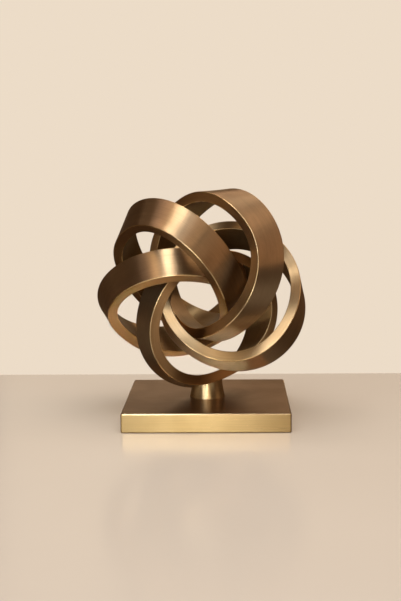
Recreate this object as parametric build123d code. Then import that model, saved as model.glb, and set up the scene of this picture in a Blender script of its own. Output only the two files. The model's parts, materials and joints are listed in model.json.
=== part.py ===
from build123d import *
import math
import os

# Table sculpture: five closed flat-bar loops linked into one open knot, standing
# on a short turned stem in the middle of a square plate.
# Millimetres. Origin at the centre of the felt's underside, +Z up, -Y to the viewer.

# ---------------------------------------------------------------- plate and felt
plate_side = 200.0          # square plate, side length
plate_top = 22.9            # height of the plate's top face above the table
plate_bottom = 0.6          # the felt stands this much proud of the plate
plate_corner_radius = 2.2   # rounded vertical edges
plate_top_bevel = 1.3       # bright bevel round the top face
plate_bottom_bevel = 0.8
felt_side = 190.0
felt_thickness = 1.5
felt_corner_radius = 5.0
felt_clearance = 0.2        # gap between the felt's edge and the wall of its recess

# ---------------------------------------------------------------- stem
stem_foot_radius = 21.9
stem_mid_radius = 20.0
stem_neck_radius = 18.3
stem_mid_z = 31.5
stem_neck_z = 50.0          # blank height before it is coped to the loop above it

cope_gap = 0.01             # bonding gap between the coped head and the loop

# ---------------------------------------------------------------- draw bolt
stud_radius = 4.0           # M8 stud
stud_top_z = 45.6
stud_bottom_z = 2.6
stud_hole_radius = 4.25     # clearance hole through stem and plate
stud_pocket_top_z = 46.6    # tapped blind pocket in the lower loop
counterbore_radius = 13.0
counterbore_top_z = 13.9
washer_outer_radius = 12.0
washer_inner_radius = 4.2
washer_thickness = 2.0
spring_washer_outer_radius = 7.4
spring_washer_inner_radius = 4.05
spring_washer_thickness = 2.0
spring_washer_gap = 1.6
nut_across_flats = 13.0
nut_height = 6.5

# ---------------------------------------------------------------- dowels
base_dowel_radius = 2.0     # stem to plate
base_dowel_length = 12.0
base_dowel_offset = 13.0
saddle_dowel_radius = 2.0   # stem to lower loop
saddle_dowel_low_z = 33.0
saddle_dowel_high_z = 45.5
saddle_dowel_xy = (7.2, -8.4)
seam_dowel_radius = 2.5     # two across each seam of a loop
seam_dowel_length = 14.0
seam_dowel_spread = 10.5    # from the middle of the bar's width
seam_bore_extra = 0.5       # air at each end of a dowel

# ---------------------------------------------------------------- flat bar
bar_thickness = 12.6
bar_width = 41.64
bar_bevel = 0.8             # eased long edges
stations_per_half = 30      # guide points along each half loop

tack_radius = 2.0           # weld tacks where two loops nearly touch

# Each loop is a closed smooth curve. centre, turn and lean place the plane it lies
# near (turn about Z, lean up from level, both of the plane's normal, in radians);
# radius is its mean radius. oval gives its plan's departure from a circle (cosine
# and sine terms of 2, 3 and 4 waves round the loop), warp its rise out of plane
# (2 and 3 waves), twist the roll of the bar about its own line (mean, then 1, 2
# and 3 waves). seams are the two angles, in degrees, where the halves meet.
loops = {
    "upper_right_loop": dict(
        centre=(5.73, -27.37, 188.07),
        turn=-0.8673, lean=0.1361, radius=89.20,
        oval=(0.06969, 0.01300, -0.00964, -0.01801, 0.01305, -0.00942),
        warp=(-0.02577, -0.06760, -0.01668, -0.02272),
        twist=(-0.11562, 0.11738, -0.02631, 0.01788, -0.13943, 0.05585, 0.01912),
        seams=(135, 285), names=("inner", "outer")),
    "upper_left_loop": dict(
        centre=(-32.44, -16.24, 179.94),
        turn=-0.8479, lean=-0.6546, radius=91.25,
        oval=(0.00511, 0.07471, 0.00973, 0.02129, 0.00543, -0.00779),
        warp=(0.03939, 0.00963, 0.00830, -0.01446),
        twist=(-0.14318, 0.18567, 0.00701, 0.10203, 0.02864, -0.05415, 0.01349),
        seams=(180, 335), names=("inner", "outer")),
    "left_loop": dict(
        centre=(-38.21, 2.10, 141.05),
        turn=0.2467, lean=-0.9027, radius=88.37,
        oval=(-0.04103, -0.02485, 0.00689, 0.00444, 0.01011, 0.00270),
        warp=(-0.04787, 0.00057, -0.01014, -0.00173),
        twist=(-0.05426, 0.16261, 0.11809, -0.02485, -0.19278, -0.03729, -0.02032),
        seams=(60, 250), names=("outer", "inner")),
    "lower_loop": dict(
        centre=(0.48, 1.17, 121.38),
        turn=0.6519, lean=-0.0935, radius=84.42,
        oval=(0.03676, -0.02156, 0.01506, -0.02060, -0.00822, -0.00348),
        warp=(-0.02313, 0.00190, 0.02499, 0.02437),
        twist=(-0.03744, -0.02508, 0.22996, 0.19173, 0.14284, 0.02205, 0.01829),
        seams=(130, 310), names=("outer", "inner")),
    "right_loop": dict(
        centre=(31.32, -15.41, 149.28),
        turn=0.0494, lean=0.6096, radius=83.74,
        oval=(-0.01630, 0.01535, -0.00991, 0.00729, -0.00303, -0.00074),
        warp=(-0.01956, 0.00405, 0.01259, -0.04316),
        twist=(0.02480, -0.17330, 0.04900, -0.12207, 0.01327, 0.04228, 0.03180),
        seams=(45, 195), names=("inner", "outer")),
}

# Places where two loops pass closest, edge to edge: the two loops, the middle of
# the gap, the direction straight across it, and the width that a tack fills.
tacks = [
    ("upper_right_loop", "upper_left_loop", (-23.46, 29.17, 107.42), (0.313, 0.715, -0.626), 1.50),
    ("upper_right_loop", "upper_left_loop", (0.95, 2.38, 106.92), (0.852, 0.506, 0.131), 1.44),
    ("upper_right_loop", "upper_left_loop", (21.91, -35.97, 111.77), (0.319, 0.428, 0.846), 1.34),
    ("upper_left_loop", "left_loop", (8.07, 60.34, 109.72), (0.587, 0.781, -0.214), 1.42),
    ("upper_left_loop", "left_loop", (40.81, -12.69, 144.89), (0.073, 0.436, 0.897), 1.30),
    ("upper_left_loop", "left_loop", (39.63, -43.62, 162.46), (-0.300, 0.586, 0.753), 1.36),
    ("left_loop", "lower_loop", (44.46, 1.94, 187.17), (0.174, 0.440, 0.881), 0.98),
    ("left_loop", "lower_loop", (-6.76, -44.49, 202.33), (-0.537, 0.792, -0.291), 1.54),
    ("left_loop", "lower_loop", (45.94, 41.43, 161.31), (0.487, 0.635, 0.600), 1.46),
    ("lower_loop", "right_loop", (4.93, 22.96, 208.01), (-0.376, 0.693, 0.616), 1.40),
    ("lower_loop", "right_loop", (-57.34, -26.29, 169.68), (0.644, 0.560, -0.521), 1.38),
    ("right_loop", "upper_right_loop", (-54.53, 14.11, 150.76), (-0.201, 0.784, -0.587), 1.48),
    ("right_loop", "upper_right_loop", (-31.47, -28.55, 106.63), (0.800, 0.377, 0.466), 1.18),
]


def loop_point(loop, s):
    """Middle of the bar at angle s, with the loop's own axes n, u, v and radial."""
    az, el = loop["turn"], loop["lean"]
    n = Vector(math.sin(az) * math.cos(el), -math.cos(az) * math.cos(el), math.sin(el))
    u = Vector(math.cos(az), math.sin(az), 0)
    v = n.cross(u)
    radial = u * math.cos(s) + v * math.sin(s)
    r = 1.0
    for k, (a, b) in zip((2, 3, 4), zip(loop["oval"][0::2], loop["oval"][1::2])):
        r += a * math.cos(k * s) + b * math.sin(k * s)
    z = 0.0
    for k, (a, b) in zip((2, 3), zip(loop["warp"][0::2], loop["warp"][1::2])):
        z += a * math.cos(k * s) + b * math.sin(k * s)
    p = Vector(*loop["centre"]) + (radial * r + n * z) * loop["radius"]
    return p, n, radial


def bar_axes(loop, s):
    """Middle, tangent, width direction and outward direction of the bar at s."""
    d = 0.005
    p, n, radial = loop_point(loop, s)
    t = (loop_point(loop, s + d)[0] - loop_point(loop, s - d)[0]).normalized()
    roll = loop["twist"][0]
    for k, (a, b) in zip((1, 2, 3), zip(loop["twist"][1::2], loop["twist"][2::2])):
        roll += a * math.cos(k * s) + b * math.sin(k * s)
    w = n * math.cos(roll) + radial * math.sin(roll)
    w = (w - t * w.dot(t)).normalized()
    out = t.cross(w)
    if out.dot(radial) < 0:
        out = out * -1
    return p, t, w, out


def bar_section(half_t, half_w, bevel, inner=None):
    """Corners (outward, widthwise) of the bar's bevelled section, in order."""
    lo = -half_t if inner is None else inner
    if bevel <= 0:
        return [(half_t, -half_w), (half_t, half_w), (lo, half_w), (lo, -half_w)]
    b = bevel
    return [(half_t, -half_w + b), (half_t, half_w - b), (half_t - b, half_w),
            (lo + b, half_w), (lo, half_w - b), (lo, -half_w + b),
            (lo + b, -half_w), (half_t - b, -half_w)]


def swept_bar(loop, s0, s1, section, stations):
    """Closed solid between angles s0 and s1 with the given section."""
    step = (s1 - s0) / (stations - 1)

    def corner(s, c):
        p, _, w, out = bar_axes(loop, s)
        return p + out * c[0] + w * c[1]

    frames = [bar_axes(loop, s0 + i * step) for i in range(stations)]
    guides = []
    for c in section:
        pts = [p + out * c[0] + w * c[1] for p, _, w, out in frames]
        e = 0.004
        ends = [(corner(s + e, c) - corner(s - e, c)) * ((s1 - s0) / (2 * e)) for s in (s0, s1)]
        guides.append(Edge.make_spline(
            pts, tangents=ends, scale=False,
            parameters=[i / (stations - 1) for i in range(stations)]))
    faces = []
    count = len(section)
    for i in range(count):
        faces.append(Face.make_surface_from_curves(guides[i], guides[(i + 1) % count]))
    for k in (0, -1):
        p, _, w, out = frames[k]
        ring = [p + out * c[0] + w * c[1] for c in section]
        faces.append(Face(Wire.make_polygon(ring, close=True)))
    body = Solid(Shell(faces))
    if body.volume < 0:
        body = Solid(Shell([-f for f in faces]))
    return body


def rod(centre, direction, radius, length, bevel=0.0):
    """Plain round rod, centred on a point, lying along a direction."""
    plane = Plane(origin=centre, z_dir=direction)
    r = Cylinder(radius, length)
    if bevel > 0:
        r = chamfer(r.edges().filter_by(GeomType.CIRCLE), bevel)
    return plane * r


def one_solid(shape):
    """The largest solid of a shape."""
    return sorted(shape.solids(), key=lambda q: q.volume)[-1]


os.makedirs("parts", exist_ok=True)
half_t, half_w = bar_thickness / 2, bar_width / 2
section = bar_section(half_t, half_w, bar_bevel)

# ---------------------------------------------------------------- loops
halves = {}
seam_places = {}
for name, loop in loops.items():
    a, b = (math.radians(q) for q in loop["seams"])
    halves[name] = [
        swept_bar(loop, a, b, section, stations_per_half),
        swept_bar(loop, b, a + 2 * math.pi, section, stations_per_half),
    ]
    seam_places[name] = [bar_axes(loop, a), bar_axes(loop, b)]

# blind bores for the two dowels across each seam, and the dowels
seam_dowels = []
for name, places in seam_places.items():
    for p, t, w, out in places:
        for side in (-1, 1):
            c = p + w * (side * seam_dowel_spread)
            bore = rod(c, t, seam_dowel_radius, seam_dowel_length + 2 * seam_bore_extra)
            halves[name] = [one_solid(h - bore) for h in halves[name]]
            seam_dowels.append(rod(c, t, seam_dowel_radius, seam_dowel_length, 0.4))

# ---------------------------------------------------------------- stem
lower = loops["lower_loop"]
a, b = (math.radians(q) for q in lower["seams"])
# the stem's head is coped to the outside face of the lower loop
cope = swept_bar(lower, a + 0.9, b - 0.3,
                 bar_section(half_t + cope_gap, half_w + 9.0, 0, inner=-34.0), 24)
profile = Face(Wire([
    Edge.make_line((0, 0, plate_top), (stem_foot_radius, 0, plate_top)),
    Edge.make_three_point_arc((stem_foot_radius, 0, plate_top),
                              (stem_mid_radius, 0, stem_mid_z),
                              (stem_neck_radius, 0, stem_neck_z)),
    Edge.make_line((stem_neck_radius, 0, stem_neck_z), (0, 0, stem_neck_z)),
    Edge.make_line((0, 0, stem_neck_z), (0, 0, plate_top)),
]))
stem = one_solid(revolve(profile, Axis.Z, 360) - cope)
stem = stem - Pos(0, 0, plate_top) * Cylinder(
    stud_hole_radius, 40, align=(Align.CENTER, Align.CENTER, Align.MIN))

lower_half = halves["lower_loop"][0]
stud_pocket = Pos(0, 0, 20) * Cylinder(
    stud_radius, stud_pocket_top_z - 20, align=(Align.CENTER, Align.CENTER, Align.MIN))
saddle_x, saddle_y = saddle_dowel_xy
saddle_length = saddle_dowel_high_z - saddle_dowel_low_z
saddle_bore = Pos(saddle_x, saddle_y, saddle_dowel_low_z - 0.5) * Cylinder(
    saddle_dowel_radius, saddle_length + 1.0, align=(Align.CENTER, Align.CENTER, Align.MIN))
halves["lower_loop"][0] = one_solid(lower_half - stud_pocket - saddle_bore)
stem = stem - saddle_bore

base_dowels = []
base_bores = []
for x in (-base_dowel_offset, base_dowel_offset):
    base_dowels.append(rod((x, 0, plate_top), (0, 0, 1), base_dowel_radius, base_dowel_length, 0.3))
    base_bores.append(rod((x, 0, plate_top), (0, 0, 1), base_dowel_radius, base_dowel_length + 1.0))
for bore in base_bores:
    stem = stem - bore
stem = one_solid(stem)

saddle_dowel = Pos(saddle_x, saddle_y, saddle_dowel_low_z) * Cylinder(
    saddle_dowel_radius, saddle_length, align=(Align.CENTER, Align.CENTER, Align.MIN))
saddle_dowel = chamfer(saddle_dowel.edges().filter_by(GeomType.CIRCLE), 0.3)

# ---------------------------------------------------------------- plate
plate = Pos(0, 0, plate_bottom) * Box(
    plate_side, plate_side, plate_top - plate_bottom,
    align=(Align.CENTER, Align.CENTER, Align.MIN))
plate = fillet(plate.edges().filter_by(Axis.Z), plate_corner_radius)
plate = chamfer(plate.faces().sort_by(Axis.Z)[-1].edges(), plate_top_bevel)
plate = chamfer(plate.faces().sort_by(Axis.Z)[0].edges(), plate_bottom_bevel)


def felt_block(side, radius, height):
    block = Box(side, side, height, align=(Align.CENTER, Align.CENTER, Align.MIN))
    return fillet(block.edges().filter_by(Axis.Z), radius)


plate = plate - felt_block(felt_side + 2 * felt_clearance,
                           felt_corner_radius + felt_clearance, felt_thickness)
plate = plate - Pos(0, 0, felt_thickness) * Cylinder(
    counterbore_radius, counterbore_top_z - felt_thickness,
    align=(Align.CENTER, Align.CENTER, Align.MIN))
plate = plate - Cylinder(stud_hole_radius, 60)
for bore in base_bores:
    plate = plate - bore
plate = one_solid(plate)
felt = felt_block(felt_side, felt_corner_radius, felt_thickness)

# ---------------------------------------------------------------- draw bolt
stud = Pos(0, 0, stud_bottom_z) * Cylinder(
    stud_radius, stud_top_z - stud_bottom_z, align=(Align.CENTER, Align.CENTER, Align.MIN))
stud = chamfer(stud.edges().filter_by(GeomType.CIRCLE), 0.7)

washer = Pos(0, 0, counterbore_top_z - washer_thickness) * (
    Cylinder(washer_outer_radius, washer_thickness, align=(Align.CENTER, Align.CENTER, Align.MIN))
    - Cylinder(washer_inner_radius, 9))
washer = one_solid(washer)

spring_z = counterbore_top_z - washer_thickness - spring_washer_thickness
spring_washer = Cylinder(spring_washer_outer_radius, spring_washer_thickness,
                         align=(Align.CENTER, Align.CENTER, Align.MIN))
spring_washer = spring_washer - Cylinder(spring_washer_inner_radius, 9)
spring_washer = spring_washer - Pos(6, 0, 0) * Rot(0, 0, 20) * Box(9, spring_washer_gap, 9)
spring_washer = one_solid(Pos(0, 0, spring_z) * spring_washer)

nut_z = spring_z - nut_height
nut_blank = extrude(RegularPolygon(nut_across_flats / 2, 6, major_radius=False), nut_height)
nut_cone = Cone(nut_across_flats / 2 + 4.35, nut_across_flats / 2 - 0.35, nut_height / 2 + 1.0,
                align=(Align.CENTER, Align.CENTER, Align.MIN))
# both ends of the hexagon are eased by a turned cone
nut_ease = (Pos(0, 0, nut_height / 2 - 1.0) * nut_cone) + (
    Pos(0, 0, nut_height / 2 + 1.0) * Rot(180, 0, 0) * nut_cone)
nut = nut_blank & nut_ease
nut = one_solid(Pos(0, 0, nut_z) * (nut - Cylinder(stud_radius, 30)))

# ---------------------------------------------------------------- weld tacks
tack_beads = []
for first, second, place, across, width in tacks:
    # a short barrel between the eased edges of the two bars
    bead = Sphere(tack_radius) & Box(3 * tack_radius, 3 * tack_radius, width)
    tack_beads.append(one_solid(Plane(origin=place, z_dir=across) * bead))

# ---------------------------------------------------------------- files
pieces = {
    "base_plate": plate,
    "base_felt": felt,
    "stem": stem,
    "stem_stud": stud,
    "stud_washer": washer,
    "stud_spring_washer": spring_washer,
    "stud_nut": nut,
    "stem_base_dowels": Compound(children=base_dowels),
    "stem_saddle_dowel": saddle_dowel,
    "loop_seam_dowels": Compound(children=seam_dowels),
    "loop_weld_tacks": Compound(children=tack_beads),
}
for name, loop in loops.items():
    for half, which in zip(halves[name], loop["names"]):
        pieces[name + "_" + which + "_half"] = half

for node, shape in pieces.items():
    export_step(shape, "parts/" + node + ".step")
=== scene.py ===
import bpy
import json
import math
import numpy as np
from mathutils import Matrix, Vector

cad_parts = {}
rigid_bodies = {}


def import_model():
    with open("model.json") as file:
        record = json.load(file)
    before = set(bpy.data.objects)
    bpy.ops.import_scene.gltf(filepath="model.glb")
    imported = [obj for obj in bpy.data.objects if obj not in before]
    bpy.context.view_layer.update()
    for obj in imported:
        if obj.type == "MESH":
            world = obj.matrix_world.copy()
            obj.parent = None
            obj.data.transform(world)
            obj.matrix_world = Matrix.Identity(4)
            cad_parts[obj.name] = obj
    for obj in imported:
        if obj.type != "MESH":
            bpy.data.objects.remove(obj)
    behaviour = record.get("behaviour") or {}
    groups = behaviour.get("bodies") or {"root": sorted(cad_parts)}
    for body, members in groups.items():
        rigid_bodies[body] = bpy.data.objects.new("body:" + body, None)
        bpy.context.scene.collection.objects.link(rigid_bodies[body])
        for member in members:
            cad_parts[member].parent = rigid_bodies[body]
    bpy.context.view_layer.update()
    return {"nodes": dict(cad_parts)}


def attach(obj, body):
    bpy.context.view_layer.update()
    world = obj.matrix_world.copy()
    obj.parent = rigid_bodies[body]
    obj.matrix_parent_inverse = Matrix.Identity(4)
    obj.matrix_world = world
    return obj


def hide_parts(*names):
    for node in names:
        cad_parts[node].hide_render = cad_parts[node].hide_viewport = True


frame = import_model()
nodes = frame["nodes"]

MM = 0.001

# ------------------------------------------------------------------ loop data, millimetres
BAR_THICKNESS = 12.6
BAR_WIDTH = 41.64
EDGE_RADIUS = 0.95        # eased long edges, coloured brighter as edge wear and painted highlight

LOOPS = {
    "upper_right_loop": dict(
        centre=(5.73, -27.37, 188.07), turn=-0.8673, lean=0.1361, radius=89.20,
        oval=(0.06969, 0.01300, -0.00964, -0.01801, 0.01305, -0.00942),
        warp=(-0.02577, -0.06760, -0.01668, -0.02272),
        twist=(-0.11562, 0.11738, -0.02631, 0.01788, -0.13943, 0.05585, 0.01912),
        seams=(135, 285), names=("inner", "outer")),
    "upper_left_loop": dict(
        centre=(-32.44, -16.24, 179.94), turn=-0.8479, lean=-0.6546, radius=91.25,
        oval=(0.00511, 0.07471, 0.00973, 0.02129, 0.00543, -0.00779),
        warp=(0.03939, 0.00963, 0.00830, -0.01446),
        twist=(-0.14318, 0.18567, 0.00701, 0.10203, 0.02864, -0.05415, 0.01349),
        seams=(180, 335), names=("inner", "outer")),
    "left_loop": dict(
        centre=(-38.21, 2.10, 141.05), turn=0.2467, lean=-0.9027, radius=88.37,
        oval=(-0.04103, -0.02485, 0.00689, 0.00444, 0.01011, 0.00270),
        warp=(-0.04787, 0.00057, -0.01014, -0.00173),
        twist=(-0.05426, 0.16261, 0.11809, -0.02485, -0.19278, -0.03729, -0.02032),
        seams=(60, 250), names=("outer", "inner")),
    "lower_loop": dict(
        centre=(0.48, 1.17, 121.38), turn=0.6519, lean=-0.0935, radius=84.42,
        oval=(0.03676, -0.02156, 0.01506, -0.02060, -0.00822, -0.00348),
        warp=(-0.02313, 0.00190, 0.02499, 0.02437),
        twist=(-0.03744, -0.02508, 0.22996, 0.19173, 0.14284, 0.02205, 0.01829),
        # the last value darkens this loop's outer face as painted shade
        seams=(130, 310), names=("outer", "inner"), painted_shade=0.64),
    "right_loop": dict(
        centre=(31.32, -15.41, 149.28), turn=0.0494, lean=0.6096, radius=83.74,
        oval=(-0.01630, 0.01535, -0.00991, 0.00729, -0.00303, -0.00074),
        warp=(-0.01956, 0.00405, 0.01259, -0.04316),
        twist=(0.02480, -0.17330, 0.04900, -0.12207, 0.01327, 0.04228, 0.03180),
        # the last value makes this loop's edges smoother and gives them a brighter colour as painted
        # highlight
        seams=(45, 195), names=("inner", "outer"), polish_and_highlight=1.0),
}


def loop_middle(loop, s):
    az, el = loop["turn"], loop["lean"]
    n = np.array([math.sin(az) * math.cos(el), -math.cos(az) * math.cos(el), math.sin(el)])
    u = np.array([math.cos(az), math.sin(az), 0.0])
    v = np.cross(n, u)
    radial = np.cos(s)[:, None] * u + np.sin(s)[:, None] * v
    o, w = loop["oval"], loop["warp"]
    r = np.ones_like(s)
    for i, k in enumerate((2, 3, 4)):
        r = r + o[2 * i] * np.cos(k * s) + o[2 * i + 1] * np.sin(k * s)
    z = np.zeros_like(s)
    for i, k in enumerate((2, 3)):
        z = z + w[2 * i] * np.cos(k * s) + w[2 * i + 1] * np.sin(k * s)
    p = np.array(loop["centre"]) + loop["radius"] * (radial * r[:, None] + n * z[:, None])
    return p, np.broadcast_to(n, p.shape), radial


def bar_axes(loop, s):
    d = 0.005
    p, n, radial = loop_middle(loop, s)
    t = loop_middle(loop, s + d)[0] - loop_middle(loop, s - d)[0]
    t = t / np.linalg.norm(t, axis=1)[:, None]
    tw = loop["twist"]
    roll = np.full_like(s, tw[0])
    for i, k in enumerate((1, 2, 3)):
        roll = roll + tw[1 + 2 * i] * np.cos(k * s) + tw[2 + 2 * i] * np.sin(k * s)
    w = n * np.cos(roll)[:, None] + radial * np.sin(roll)[:, None]
    w = w - t * (w * t).sum(1)[:, None]
    w = w / np.linalg.norm(w, axis=1)[:, None]
    out = np.cross(t, w)
    flip = np.sign((out * radial).sum(1))
    return p, t, w, out * flip[:, None]


def bar_outline():
    """Rounded section: points (outward, widthwise) and what kind of face each step lies on."""
    ht, hw, r = BAR_THICKNESS / 2, BAR_WIDTH / 2, EDGE_RADIUS
    pts, kind = [], []

    def straight(a, b, parts, k):
        for i in range(parts):
            f = i / parts
            pts.append((a[0] + (b[0] - a[0]) * f, a[1] + (b[1] - a[1]) * f))
            kind.append(k)

    def corner(c, a0, parts):
        for i in range(parts):
            a = math.radians(a0 + 90.0 * i / parts)
            pts.append((c[0] + r * math.cos(a), c[1] + r * math.sin(a)))
            kind.append("corner")

    straight((ht, -hw + r), (ht, hw - r), 10, "outer")
    corner((ht - r, hw - r), 0, 5)
    straight((ht - r, hw), (-ht + r, hw), 4, "edge")
    corner((-ht + r, hw - r), 90, 5)
    straight((-ht, hw - r), (-ht, -hw + r), 10, "inner")
    corner((-ht + r, -hw + r), 180, 5)
    straight((-ht + r, -hw), (ht - r, -hw), 4, "edge")
    corner((ht - r, -hw + r), 270, 5)
    return np.array(pts), kind


def outline_normals(pts):
    """Outward normal of the rounded section at each of its points."""
    ht, hw, r = BAR_THICKNESS / 2, BAR_WIDTH / 2, EDGE_RADIUS
    core = np.stack([np.clip(pts[:, 0], -ht + r, ht - r), np.clip(pts[:, 1], -hw + r, hw - r)], 1)
    n = pts - core
    return n / np.linalg.norm(n, axis=1)[:, None]


def half_loop(name, loop, s0, s1, stations=280):
    """One half of a loop as a closed, evenly divided mesh with true normals.
    UV map 'unwrap' lays the bar out flat (0 to 1), 'metres' is the same in metres."""
    s = np.linspace(s0, s1, stations)
    p, t, w, out = bar_axes(loop, s)
    pts, kind = bar_outline()
    nrm = outline_normals(pts)
    m = len(pts)
    ring = p[:, None, :] + out[:, None, :] * pts[None, :, 0, None] + w[:, None, :] * pts[None, :, 1, None]
    e = 1e-3
    pa, _, wa, oa = bar_axes(loop, s - e)
    pb, _, wb, ob = bar_axes(loop, s + e)
    along = ((pb - pa)[:, None, :] + (ob - oa)[:, None, :] * pts[None, :, 0, None]
             + (wb - wa)[:, None, :] * pts[None, :, 1, None])
    across = out[:, None, :] * (-nrm[None, :, 1, None]) + w[:, None, :] * nrm[None, :, 0, None]
    facing = out[:, None, :] * nrm[None, :, 0, None] + w[:, None, :] * nrm[None, :, 1, None]
    vn = np.cross(along, across)
    vn = vn / np.linalg.norm(vn, axis=2)[:, :, None]
    vn = vn * np.sign((vn * facing).sum(2))[:, :, None]

    verts = (ring * MM).reshape(-1, 3)
    normals = vn.reshape(-1, 3)
    step = np.linalg.norm(np.roll(pts, -1, axis=0) - pts, axis=1)
    around = np.concatenate([[0.0], np.cumsum(step)])
    length = np.concatenate([[0.0], np.cumsum(np.linalg.norm(np.diff(p, axis=0), axis=1))])

    # the faces run so that their outside is the bar's outside
    test = np.cross(ring[0, 1] - ring[0, 0], ring[1, 0] - ring[0, 0])
    outward = float(np.dot(test, facing[0, 0])) > 0
    faces, uv, uvm, face_kind = [], [], [], []
    for i in range(stations - 1):
        for j in range(m):
            k = (j + 1) % m
            quad = [i * m + j, i * m + k, (i + 1) * m + k, (i + 1) * m + j]
            uvs = [(around[j], length[i]), (around[j + 1], length[i]),
                   (around[j + 1], length[i + 1]), (around[j], length[i + 1])]
            if not outward:
                quad, uvs = quad[::-1], uvs[::-1]
            faces.append(quad)
            uvm.extend(uvs)
            face_kind.append(kind[j])
    # end caps at the seams
    caps = []
    for i, first in ((0, True), (stations - 1, False)):
        idx = [i * m + j for j in range(m)]
        if first == outward:
            idx = idx[::-1]
        caps.append(idx)
        faces.append(idx)
        for q in idx:
            a, b = pts[q - i * m]
            uvm.append((around[-1] + 6 + a + (0 if first else 14), b + 30))
        face_kind.append("cap")
    uvm = np.array(uvm)
    span = np.array([around[-1] + 40.0, max(length[-1], 60.0)])
    uvn = uvm / span

    me = bpy.data.meshes.new(name)
    me.from_pydata([tuple(q) for q in verts], [], faces)
    layer = me.uv_layers.new(name="unwrap")
    layer.data.foreach_set("uv", uvn.astype(np.float32).ravel())
    layer = me.uv_layers.new(name="metres")
    layer.data.foreach_set("uv", (uvm * MM).astype(np.float32).ravel())
    me.uv_layers["unwrap"].active_render = True
    me.uv_layers.active = me.uv_layers["unwrap"]

    # 1 along the rounded long edges, which get edge wear and a painted highlight, and 0 outer, 0.5 inner, 1
    # on the bar's narrow edge faces
    wear_and_highlight_mask = np.array([1.0 if kind[j] == "corner" and kind[j - 1] == "corner" else 0.0 for j in range(m)])
    face_of = {"outer": 0.0, "corner": 1.0, "edge": 1.0, "inner": 0.5}
    edge_wear_and_highlight = me.attributes.new("edge_wear_and_highlight", "FLOAT", "POINT")
    edge_wear_and_highlight.data.foreach_set("value", np.tile(wear_and_highlight_mask, stations).astype(np.float32))
    which = me.attributes.new("bar_face", "FLOAT", "FACE")
    which.data.foreach_set("value", np.array([face_of.get(q, 1.0) for q in face_kind], np.float32))

    # the right loop's edges are polished, and take a brighter colour than the others' as painted highlight
    polish_and_highlight = me.attributes.new("polish_and_highlight", "FLOAT", "FACE")
    polish_and_highlight.data.foreach_set("value", np.full(len(faces), loop.get("polish_and_highlight", 0.0), np.float32))
    # and the lower loop's outer face is darkened as painted shade, for the shade it lies in under the loops
    # above it
    painted_shade = me.attributes.new("painted_shade", "FLOAT", "FACE")
    painted_shade.data.foreach_set("value", np.full(len(faces), loop.get("painted_shade", 1.0), np.float32))

    smooth = np.ones(len(faces), bool)
    smooth[-2:] = False
    me.polygons.foreach_set("use_smooth", smooth)
    # split normals: the ring's own on the sides, flat on the end caps
    corner_normals = []
    for f in faces[:-2]:
        corner_normals.extend(normals[q] for q in f)
    for cap, sgn, i in ((caps[0], -1, 0), (caps[1], 1, stations - 1)):
        corner_normals.extend([t[i] * sgn] * len(cap))
    me.normals_split_custom_set([tuple(q) for q in corner_normals])
    me.validate()
    ob = bpy.data.objects.new(name, me)
    bpy.context.scene.collection.objects.link(ob)
    return ob


# ------------------------------------------------------------------ node helpers
class Tree:
    def __init__(self, material):
        material.use_nodes = True
        self.t = material.node_tree
        self.t.nodes.clear()

    def add(self, kind, **values):
        n = self.t.nodes.new(kind)
        inputs = values.pop("inputs", {})
        for k, v in values.items():
            setattr(n, k, v)
        for k, v in inputs.items():
            if isinstance(v, bpy.types.NodeSocket):
                self.t.links.new(v, n.inputs[k])
            else:
                n.inputs[k].default_value = v
        return n

    def link(self, a, b):
        self.t.links.new(a, b)

    def math(self, op, a, b=0.0, clamp=False):
        return self.add("ShaderNodeMath", operation=op, use_clamp=clamp, inputs={0: a, 1: b}).outputs[0]

    def mix(self, factor, a, b, blend="MIX"):
        n = self.add("ShaderNodeMix", data_type="RGBA", blend_type=blend, clamp_factor=True)
        for key, val in ((0, factor), (6, a), (7, b)):
            if isinstance(val, bpy.types.NodeSocket):
                self.t.links.new(val, n.inputs[key])
            else:
                n.inputs[key].default_value = val
        return n.outputs[2]

    def ramp(self, value, stops):
        n = self.add("ShaderNodeValToRGB", inputs={0: value})
        r = n.color_ramp
        while len(r.elements) > 1:
            r.elements.remove(r.elements[-1])
        r.elements[0].position, r.elements[0].color = stops[0][0], (stops[0][1],) * 3 + (1,)
        for pos, val in stops[1:]:
            el = r.elements.new(pos)
            el.color = (val,) * 3 + (1,)
        return n.outputs[0]

    def span(self, value, lo, hi, to_lo, to_hi):
        return self.add("ShaderNodeMapRange", clamp=True,
                        inputs={0: value, 1: lo, 2: hi, 3: to_lo, 4: to_hi}).outputs[0]

    def noise(self, vector, scale, detail=3.0, rough=0.5, distortion=0.0):
        return self.add("ShaderNodeTexNoise", inputs={
            "Vector": vector, "Scale": scale, "Detail": detail, "Roughness": rough,
            "Distortion": distortion}).outputs["Fac"]

    def stretch(self, vector, scale, place=(0, 0, 0), turn=(0, 0, 0)):
        return self.add("ShaderNodeMapping", inputs={
            "Vector": vector, "Scale": scale, "Location": place, "Rotation": turn}).outputs[0]

    def principled(self, **inputs):
        n = self.add("ShaderNodeBsdfPrincipled", inputs={k.replace("_", " "): v for k, v in inputs.items()})
        out = self.add("ShaderNodeOutputMaterial")
        self.link(n.outputs[0], out.inputs[0])
        return n


def rgb(r, g, b):
    return (r, g, b, 1.0)


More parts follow.
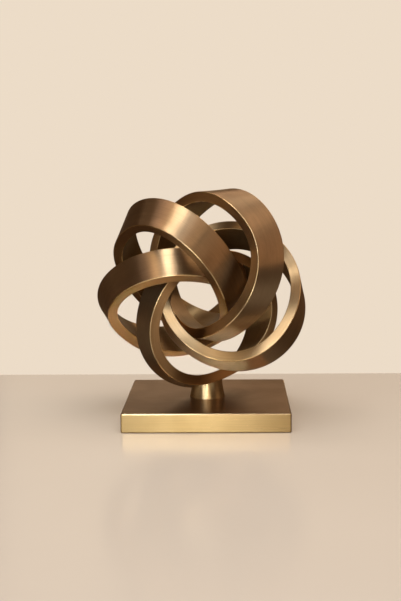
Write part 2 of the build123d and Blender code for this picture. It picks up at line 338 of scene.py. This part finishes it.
# ------------------------------------------------------------------ materials
def loop_bronze():
    mat = bpy.data.materials.new("loop_bronze")
    t = Tree(mat)
    metres = t.add("ShaderNodeUVMap", uv_map="metres").outputs[0]
    edge_wear_and_highlight = t.add("ShaderNodeAttribute", attribute_name="edge_wear_and_highlight").outputs["Fac"]
    face = t.add("ShaderNodeAttribute", attribute_name="bar_face").outputs["Fac"]
    polish_and_highlight = t.add("ShaderNodeAttribute", attribute_name="polish_and_highlight").outputs["Fac"]
    painted_shade = t.add("ShaderNodeAttribute", attribute_name="painted_shade").outputs["Fac"]
    place = t.add("ShaderNodeTexCoord").outputs["Object"]

    fine = t.noise(t.stretch(metres, (5200, 26, 1)), 1.0, 2.0, 0.6)      # hairline brushing
    coarse = t.noise(t.stretch(metres, (900, 9, 1), (3, 7, 0)), 1.0, 3.0, 0.6)   # broader strokes
    cloud = t.noise(t.stretch(metres, (30, 22, 1)), 1.0, 4.0, 0.55, 0.4)   # uneven toning
    blotch = t.noise(place, 16.0, 3.0, 0.5)
    grain = t.noise(place, 900.0, 2.0, 0.6)

    dark = t.mix(t.span(cloud, 0.35, 0.68, 0.0, 1.0), rgb(0.395, 0.274, 0.166), rgb(0.500, 0.348, 0.212))
    # painted shade: the outer face colour is scaled down on the lower loop, for the shade it lies in under
    # the other loops
    dark = t.add("ShaderNodeVectorMath", operation="SCALE", inputs={0: dark, "Scale": painted_shade}).outputs[0]
    inner = t.mix(t.span(cloud, 0.35, 0.68, 0.0, 1.0), rgb(0.260, 0.178, 0.090), rgb(0.340, 0.236, 0.124))
    toned = t.mix(t.span(blotch, 0.35, 0.65, 0.0, 1.0), rgb(0.330, 0.198, 0.094), rgb(0.405, 0.246, 0.120))
    bright = t.mix(t.span(blotch, 0.35, 0.65, 0.0, 1.0), rgb(0.350, 0.244, 0.136), rgb(0.430, 0.301, 0.171))
    # the right loop's edges take the brighter colour: painted highlight on top of their real smoother
    # finish
    gold = t.mix(polish_and_highlight, toned, bright)
    is_edge = t.span(face, 0.55, 0.95, 0.0, 1.0)
    is_inner = t.math("SUBTRACT", t.span(face, 0.05, 0.45, 0.0, 1.0), is_edge)
    colour = t.mix(is_inner, dark, inner)
    colour = t.mix(is_edge, colour, gold)
    lines = t.math("ADD", t.math("MULTIPLY", fine, 0.45), t.math("MULTIPLY", coarse, 0.55))
    shade = t.span(lines, 0.30, 0.70, 0.82, 1.16)
    shaded = t.add("ShaderNodeVectorMath", operation="SCALE", inputs={0: colour, "Scale": shade}).outputs[0]
    # edge wear and painted highlight: a brighter colour and a smoother finish along the rounded long edges
    wear_and_highlight = t.math("MULTIPLY", t.span(edge_wear_and_highlight, 0.45, 1.0, 0.0, 1.0), t.span(coarse, 0.25, 0.6, 0.65, 1.0))
    final = t.mix(wear_and_highlight, shaded, rgb(0.86, 0.66, 0.38))

    rough = t.math("ADD", t.span(lines, 0.30, 0.70, 0.37, 0.30), t.span(cloud, 0.3, 0.7, 0.02, -0.02))
    rough = t.math("SUBTRACT", rough, t.math("MULTIPLY", wear_and_highlight, 0.06))
    rough = t.math("SUBTRACT", rough, t.math("MULTIPLY", t.math("MULTIPLY", polish_and_highlight, is_edge), 0.02))
    bump = t.add("ShaderNodeBump", inputs={"Strength": 0.22, "Distance": 0.00012, "Height": lines})
    bump = t.add("ShaderNodeBump", inputs={"Strength": 0.10, "Distance": 0.0001, "Height": grain,
                                           "Normal": bump.outputs[0]})
    tangent = t.add("ShaderNodeTangent", direction_type="UV_MAP", uv_map="metres").outputs[0]
    t.principled(Base_Color=final, Metallic=1.0, Roughness=rough, Anisotropic=0.85,
                 Normal=bump.outputs[0], Tangent=tangent)
    return mat


def plate_top():
    mat = bpy.data.materials.new("plate_top_bronze")
    t = Tree(mat)
    place = t.add("ShaderNodeTexCoord").outputs["Object"]
    lines = t.noise(t.stretch(place, (30, 3400, 60)), 1.0, 3.0, 0.6)
    cloud = t.noise(place, 14.0, 4.0, 0.55, 0.5)
    grain = t.noise(place, 1100.0, 2.0, 0.6)
    colour = t.mix(t.span(cloud, 0.35, 0.66, 0.0, 1.0), rgb(0.250, 0.144, 0.072), rgb(0.330, 0.196, 0.103))
    shaded = t.add("ShaderNodeVectorMath", operation="SCALE",
                   inputs={0: colour, "Scale": t.span(lines, 0.3, 0.7, 0.90, 1.10)}).outputs[0]
    rough = t.math("ADD", t.span(cloud, 0.3, 0.7, 0.36, 0.30), t.span(lines, 0.3, 0.7, 0.02, -0.02))
    bump = t.add("ShaderNodeBump", inputs={"Strength": 0.12, "Distance": 0.0001, "Height": lines})
    bump = t.add("ShaderNodeBump", inputs={"Strength": 0.10, "Distance": 0.0001, "Height": grain,
                                           "Normal": bump.outputs[0]})
    t.principled(Base_Color=shaded, Metallic=1.0, Roughness=rough, Normal=bump.outputs[0])
    return mat


def plate_side():
    mat = bpy.data.materials.new("plate_side_brass")
    t = Tree(mat)
    place = t.add("ShaderNodeTexCoord").outputs["Object"]
    normal = t.add("ShaderNodeNewGeometry").outputs["Normal"]
    up = t.math("ABSOLUTE", t.add("ShaderNodeSeparateXYZ", inputs={0: normal}).outputs[2])
    bevel = t.span(up, 0.25, 0.6, 0.0, 1.0)
    fine = t.noise(t.stretch(place, (24, 24, 5200)), 1.0, 2.0, 0.6)
    coarse = t.noise(t.stretch(place, (8, 8, 1300), (1, 2, 3)), 1.0, 3.0, 0.6)
    lines = t.math("ADD", t.math("MULTIPLY", fine, 0.5), t.math("MULTIPLY", coarse, 0.5))
    cloud = t.noise(place, 22.0, 3.0, 0.5)
    colour = t.mix(t.span(cloud, 0.35, 0.65, 0.0, 1.0), rgb(0.550, 0.380, 0.175), rgb(0.630, 0.442, 0.215))
    shaded = t.add("ShaderNodeVectorMath", operation="SCALE",
                   inputs={0: colour, "Scale": t.span(lines, 0.3, 0.7, 0.84, 1.12)}).outputs[0]
    # brighter brass on the bevels, found by how steeply they face up: edge wear and painted highlight
    final = t.mix(bevel, shaded, rgb(0.66, 0.50, 0.29))
    rough = t.math("ADD", t.span(lines, 0.3, 0.7, 0.345, 0.270), t.span(cloud, 0.3, 0.7, 0.02, -0.02))
    bump = t.add("ShaderNodeBump", inputs={"Strength": 0.18, "Distance": 0.00012, "Height": lines})
    tangent = t.add("ShaderNodeTangent", direction_type="RADIAL", axis="Z").outputs[0]
    n = t.principled(Base_Color=final, Metallic=1.0, Roughness=rough, Anisotropic=0.9,
                     Normal=bump.outputs[0], Tangent=tangent)
    n.inputs["Anisotropic Rotation"].default_value = 0.25
    return mat


def stem_brass():
    mat = bpy.data.materials.new("stem_brass")
    t = Tree(mat)
    place = t.add("ShaderNodeTexCoord").outputs["Object"]
    lines = t.noise(t.stretch(place, (30, 30, 3600)), 1.0, 3.0, 0.65)
    cloud = t.noise(place, 60.0, 3.0, 0.5)
    colour = t.mix(t.span(cloud, 0.35, 0.65, 0.0, 1.0), rgb(0.530, 0.400, 0.225), rgb(0.630, 0.480, 0.280))
    shaded = t.add("ShaderNodeVectorMath", operation="SCALE",
                   inputs={0: colour, "Scale": t.span(lines, 0.3, 0.7, 0.80, 1.14)}).outputs[0]
    rough = t.span(lines, 0.3, 0.7, 0.34, 0.26)
    bump = t.add("ShaderNodeBump", inputs={"Strength": 0.3, "Distance": 0.00012, "Height": lines})
    tangent = t.add("ShaderNodeTangent", direction_type="RADIAL", axis="Z").outputs[0]
    n = t.principled(Base_Color=shaded, Metallic=1.0, Roughness=rough, Anisotropic=0.6,
                     Normal=bump.outputs[0], Tangent=tangent)
    n.inputs["Anisotropic Rotation"].default_value = 0.25
    return mat


def steel(name, base, tint, rough_lo, rough_hi, scale):
    mat = bpy.data.materials.new(name)
    t = Tree(mat)
    place = t.add("ShaderNodeTexCoord").outputs["Object"]
    marks = t.noise(place, scale, 4.0, 0.6, 0.3)
    spots = t.noise(place, scale * 4, 2.0, 0.5)
    colour = t.mix(t.span(marks, 0.35, 0.65, 0.0, 1.0), base, tint)
    rough = t.span(spots, 0.3, 0.7, rough_lo, rough_hi)
    bump = t.add("ShaderNodeBump", inputs={"Strength": 0.15, "Distance": 0.00015, "Height": marks})
    t.principled(Base_Color=colour, Metallic=1.0, Roughness=rough, Normal=bump.outputs[0])
    return mat


def felt():
    mat = bpy.data.materials.new("felt")
    t = Tree(mat)
    place = t.add("ShaderNodeTexCoord").outputs["Object"]
    fibre = t.noise(place, 1400.0, 3.0, 0.7, 0.8)
    nap = t.noise(place, 90.0, 4.0, 0.6)
    colour = t.mix(fibre, rgb(0.012, 0.010, 0.009), rgb(0.040, 0.034, 0.030))
    colour = t.mix(t.span(nap, 0.3, 0.7, 0.0, 0.4), colour, rgb(0.030, 0.026, 0.023))
    bump = t.add("ShaderNodeBump", inputs={"Strength": 0.6, "Distance": 0.0004, "Height": fibre})
    rough = t.span(nap, 0.3, 0.7, 0.98, 0.88)
    n = t.principled(Base_Color=colour, Roughness=rough, Normal=bump.outputs[0])
    n.inputs["Sheen Weight"].default_value = 0.3
    return mat


def set_material(ob, *mats):
    ob.data.materials.clear()
    for m in mats:
        ob.data.materials.append(m)


BRONZE = loop_bronze()
LOOPS_BUILT = []
for name, loop in LOOPS.items():
    a, b = (math.radians(q) for q in loop["seams"])
    for (s0, s1), which in zip(((a, b), (b, a + 2 * math.pi)), loop["names"]):
        node = name + "_" + which + "_half"
        ob = half_loop(node + "_bar", loop, s0, s1)
        set_material(ob, BRONZE)
        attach(ob, "root")
        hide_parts(node)
        LOOPS_BUILT.append(ob)

# the plate: satin dark top and underside, brushed brass sides, and brighter brass on the bevels as edge
# wear and painted highlight
plate = nodes["base_plate"]
set_material(plate, plate_top(), plate_side())
index = [0 if abs(f.normal.z) > 0.9 else 1 for f in plate.data.polygons]
plate.data.polygons.foreach_set("material_index", index)

set_material(nodes["stem"], stem_brass())
set_material(nodes["base_felt"], felt())
set_material(nodes["loop_weld_tacks"],
             steel("weld", rgb(0.20, 0.105, 0.05), rgb(0.30, 0.17, 0.085), 0.36, 0.5, 500.0))
ZINC = steel("zinc_steel", rgb(0.52, 0.53, 0.52), rgb(0.62, 0.62, 0.60), 0.28, 0.42, 260.0)
DOWEL = steel("dowel_steel", rgb(0.55, 0.55, 0.55), rgb(0.64, 0.64, 0.63), 0.22, 0.34, 320.0)
for n in ("stem_stud", "stud_washer", "stud_spring_washer", "stud_nut"):
    set_material(nodes[n], ZINC)
for n in ("stem_base_dowels", "stem_saddle_dowel", "loop_seam_dowels"):
    set_material(nodes[n], DOWEL)


# ------------------------------------------------------------------ floor
def floor():
    mat = bpy.data.materials.new("floor_pale")
    t = Tree(mat)
    place = t.add("ShaderNodeTexCoord").outputs["Object"]
    cloud = t.noise(place, 3.0, 4.0, 0.5)
    colour = t.mix(cloud, rgb(0.80, 0.74, 0.66), rgb(0.86, 0.80, 0.72))
    t.principled(Base_Color=colour, Roughness=t.span(cloud, 0.3, 0.7, 0.16, 0.20))
    x, y0, y1, d = 1.5, -1.4, 0.25, 0.03
    top = [(-x, y0, 0), (x, y0, 0), (x, y1, 0), (-x, y1, 0)]
    low = [(a, b, -d) for a, b, _ in top]
    faces = [(0, 1, 2, 3), (7, 6, 5, 4), (0, 4, 5, 1), (1, 5, 6, 2), (2, 6, 7, 3), (3, 7, 4, 0)]
    me = bpy.data.meshes.new("floor")
    me.from_pydata(top + low, [], faces)
    me.materials.append(mat)
    ob = bpy.data.objects.new("floor", me)
    bpy.context.scene.collection.objects.link(ob)
    ob.visible_glossy = False
    return ob


FLOOR = floor()

# ------------------------------------------------------------------ light
world = bpy.data.worlds.new("studio")
bpy.context.scene.world = world
world.use_nodes = True
wt = world.node_tree
wt.nodes.clear()
wo = wt.nodes.new("ShaderNodeOutputWorld")
seen = wt.nodes.new("ShaderNodeBackground")
seen.inputs[0].default_value = rgb(0.84, 0.715, 0.575)
seen.inputs[1].default_value = 1.0
lit = wt.nodes.new("ShaderNodeBackground")
lit.inputs[0].default_value = rgb(1.0, 0.58, 0.30)
lit.inputs[1].default_value = 0.08
path = wt.nodes.new("ShaderNodeLightPath")
pick = wt.nodes.new("ShaderNodeMixShader")
wt.links.new(path.outputs["Is Camera Ray"], pick.inputs[0])
wt.links.new(lit.outputs[0], pick.inputs[1])
wt.links.new(seen.outputs[0], pick.inputs[2])
wt.links.new(pick.outputs[0], wo.inputs[0])


def soft_light(name, az, el, wide, high, radiance, colour, shadow=True, distance=2.4):
    """Soft panel facing the knot. az is measured from the viewer's side towards the
    right and el upwards; wide and high are its angles as seen from the knot. Degrees."""
    a, e = math.radians(az), math.radians(el)
    d = Vector((math.sin(a) * math.cos(e), -math.cos(a) * math.cos(e), math.sin(e)))
    data = bpy.data.lights.new(name, "AREA")
    data.shape = "RECTANGLE"
    data.size = 2 * distance * math.tan(math.radians(wide / 2))
    data.size_y = 2 * distance * math.tan(math.radians(high / 2))
    data.energy = radiance * math.pi * data.size * data.size_y
    data.color = colour
    data.use_shadow = shadow
    data.cycles.use_multiple_importance_sampling = shadow
    ob = bpy.data.objects.new(name, data)
    ob.location = Vector((0, 0, 0.15)) + d * distance
    ob.rotation_mode = "QUATERNION"
    ob.rotation_quaternion = (-d).to_track_quat("-Z", "Y")
    bpy.context.scene.collection.objects.link(ob)
    return ob


overhead = soft_light("overhead_key", -66, 81, 14, 14, 8.5, (1.0, 0.98, 0.88), shadow=False)
soft_light("front_key", -24, 66, 10, 10, 10.5, (1.0, 0.98, 0.92), shadow=False)
soft_light("window", -15, 51, 17, 17, 5.1, (0.96, 0.98, 1.0))
soft_light("left_high", -59, 58, 11, 11, 3.8, (1.0, 0.78, 0.50))
soft_light("left_fill", -85, 65, 24, 24, 1.0, (1.0, 0.74, 0.52))
soft_light("left_back", -105, 58, 12, 26, 1.1, (1.0, 0.78, 0.70))
soft_light("left_rear", -150, 45, 30, 30, 0.3, (1.0, 0.74, 0.50))
soft_light("left_low", -26, 0, 12, 9, 6.5, (1.0, 0.98, 0.86))
soft_light("front_left", -14, 20, 20, 40, 2.2, (0.96, 1.0, 1.0))
soft_light("front_right", 10, 20, 20, 40, 1.5, (1.0, 0.82, 0.57))
soft_light("low_front", -2, 0, 8, 8, 16.0, (1.0, 1.0, 0.90))
soft_light("right_fill", 80, 30, 30, 40, 0.6, (1.0, 0.60, 0.34))
soft_light("right_high", 70, 66, 22, 22, 1.3, (1.0, 0.70, 0.44))
soft_light("back_right", 140, 40, 30, 20, 1.7, (1.0, 0.66, 0.43))
soft_light("back_high", 165, 44, 26, 12, 2.1, (1.0, 0.74, 0.53))
soft_light("back_wall_left", -171, 10, 18, 30, 0.40, (1.0, 0.79, 0.54))
soft_light("back_wall_right", 171, 10, 18, 30, 0.30, (1.0, 0.72, 0.44))

# the table's own light, thrown back up: it comes through the floor, and the loops stop it
loops_only = bpy.data.collections.new("loops_only")
for ob in LOOPS_BUILT:
    loops_only.objects.link(ob)
for name, az, el, wide, high, radiance, colour in (
        ("table_left", -38, -25, 26, 40, 1.2, (1.0, 0.96, 0.86)),
        ("table_right", 38, -25, 26, 40, 1.0, (1.0, 0.90, 0.75)),
        ("table_under", 0, -80, 30, 30, 1.0, (1.0, 0.88, 0.60))):
    soft_light(name, az, el, wide, high, radiance, colour).light_linking.blocker_collection = loops_only
soft_light("table_far_left", -75, -25, 40, 40, 0.5, (1.0, 0.80, 0.58), shadow=False)

# what the plate's back half sends up under the loops that reach out past the stem
under = bpy.data.collections.new("over_the_plate")
for ob in LOOPS_BUILT:
    if not ob.name.startswith(("lower_loop", "right_loop_inner")):
        under.objects.link(ob)
glow = soft_light("plate_glow", -162, -74, 47, 38, 0.72, (1.0, 0.86, 0.60), shadow=False, distance=0.229)
glow.light_linking.receiver_collection = under

# the bright panels light the object only, so the floor doesn't glare from behind or
# above, and the right loop is in the lee of the overhead key
object_only = bpy.data.collections.new("object_only")
all_but_right_loop = bpy.data.collections.new("all_but_right_loop")
for ob in bpy.context.scene.objects:
    if ob.type == "MESH" and ob.name != FLOOR.name:
        object_only.objects.link(ob)
        if not ob.name.startswith("right_loop"):
            all_but_right_loop.objects.link(ob)
for name in ("front_key", "window", "left_high", "left_low", "front_left", "front_right", "low_front",
             "back_right", "back_high"):
    bpy.data.objects[name].light_linking.receiver_collection = object_only
overhead.light_linking.receiver_collection = all_but_right_loop

# a wash for the floor alone
wash = soft_light("floor_wash", 0, 75, 60, 60, 2.6, (1.0, 0.96, 0.91))
floor_only = bpy.data.collections.new("floor_only")
floor_only.objects.link(FLOOR)
wash.light_linking.receiver_collection = floor_only

bpy.context.scene.view_settings.view_transform = "Standard"

# ------------------------------------------------------------------ camera
yaw, pitch, roll = -0.02716, 0.13317, -0.00973
fwd = Vector((math.sin(yaw) * math.cos(pitch), math.cos(yaw) * math.cos(pitch), -math.sin(pitch)))
right = Vector((math.cos(yaw), -math.sin(yaw), 0.0))
up = right.cross(fwd)
cx = right * math.cos(roll) + up * math.sin(roll)
cy = up * math.cos(roll) - right * math.sin(roll)
cam_data = bpy.data.cameras.new("camera")
cam = bpy.data.objects.new("camera", cam_data)
bpy.context.scene.collection.objects.link(cam)
cam.matrix_world = Matrix((
    (cx.x, cy.x, -fwd.x, 0.02986),
    (cx.y, cy.y, -fwd.y, -1.37933),
    (cx.z, cy.z, -fwd.z, 0.32795),
    (0, 0, 0, 1)))
cam_data.sensor_width = 36.0
cam_data.lens = 1122.9 * 36.0 / 601.0
cam_data.clip_start, cam_data.clip_end = 0.05, 50.0
bpy.context.scene.camera = cam
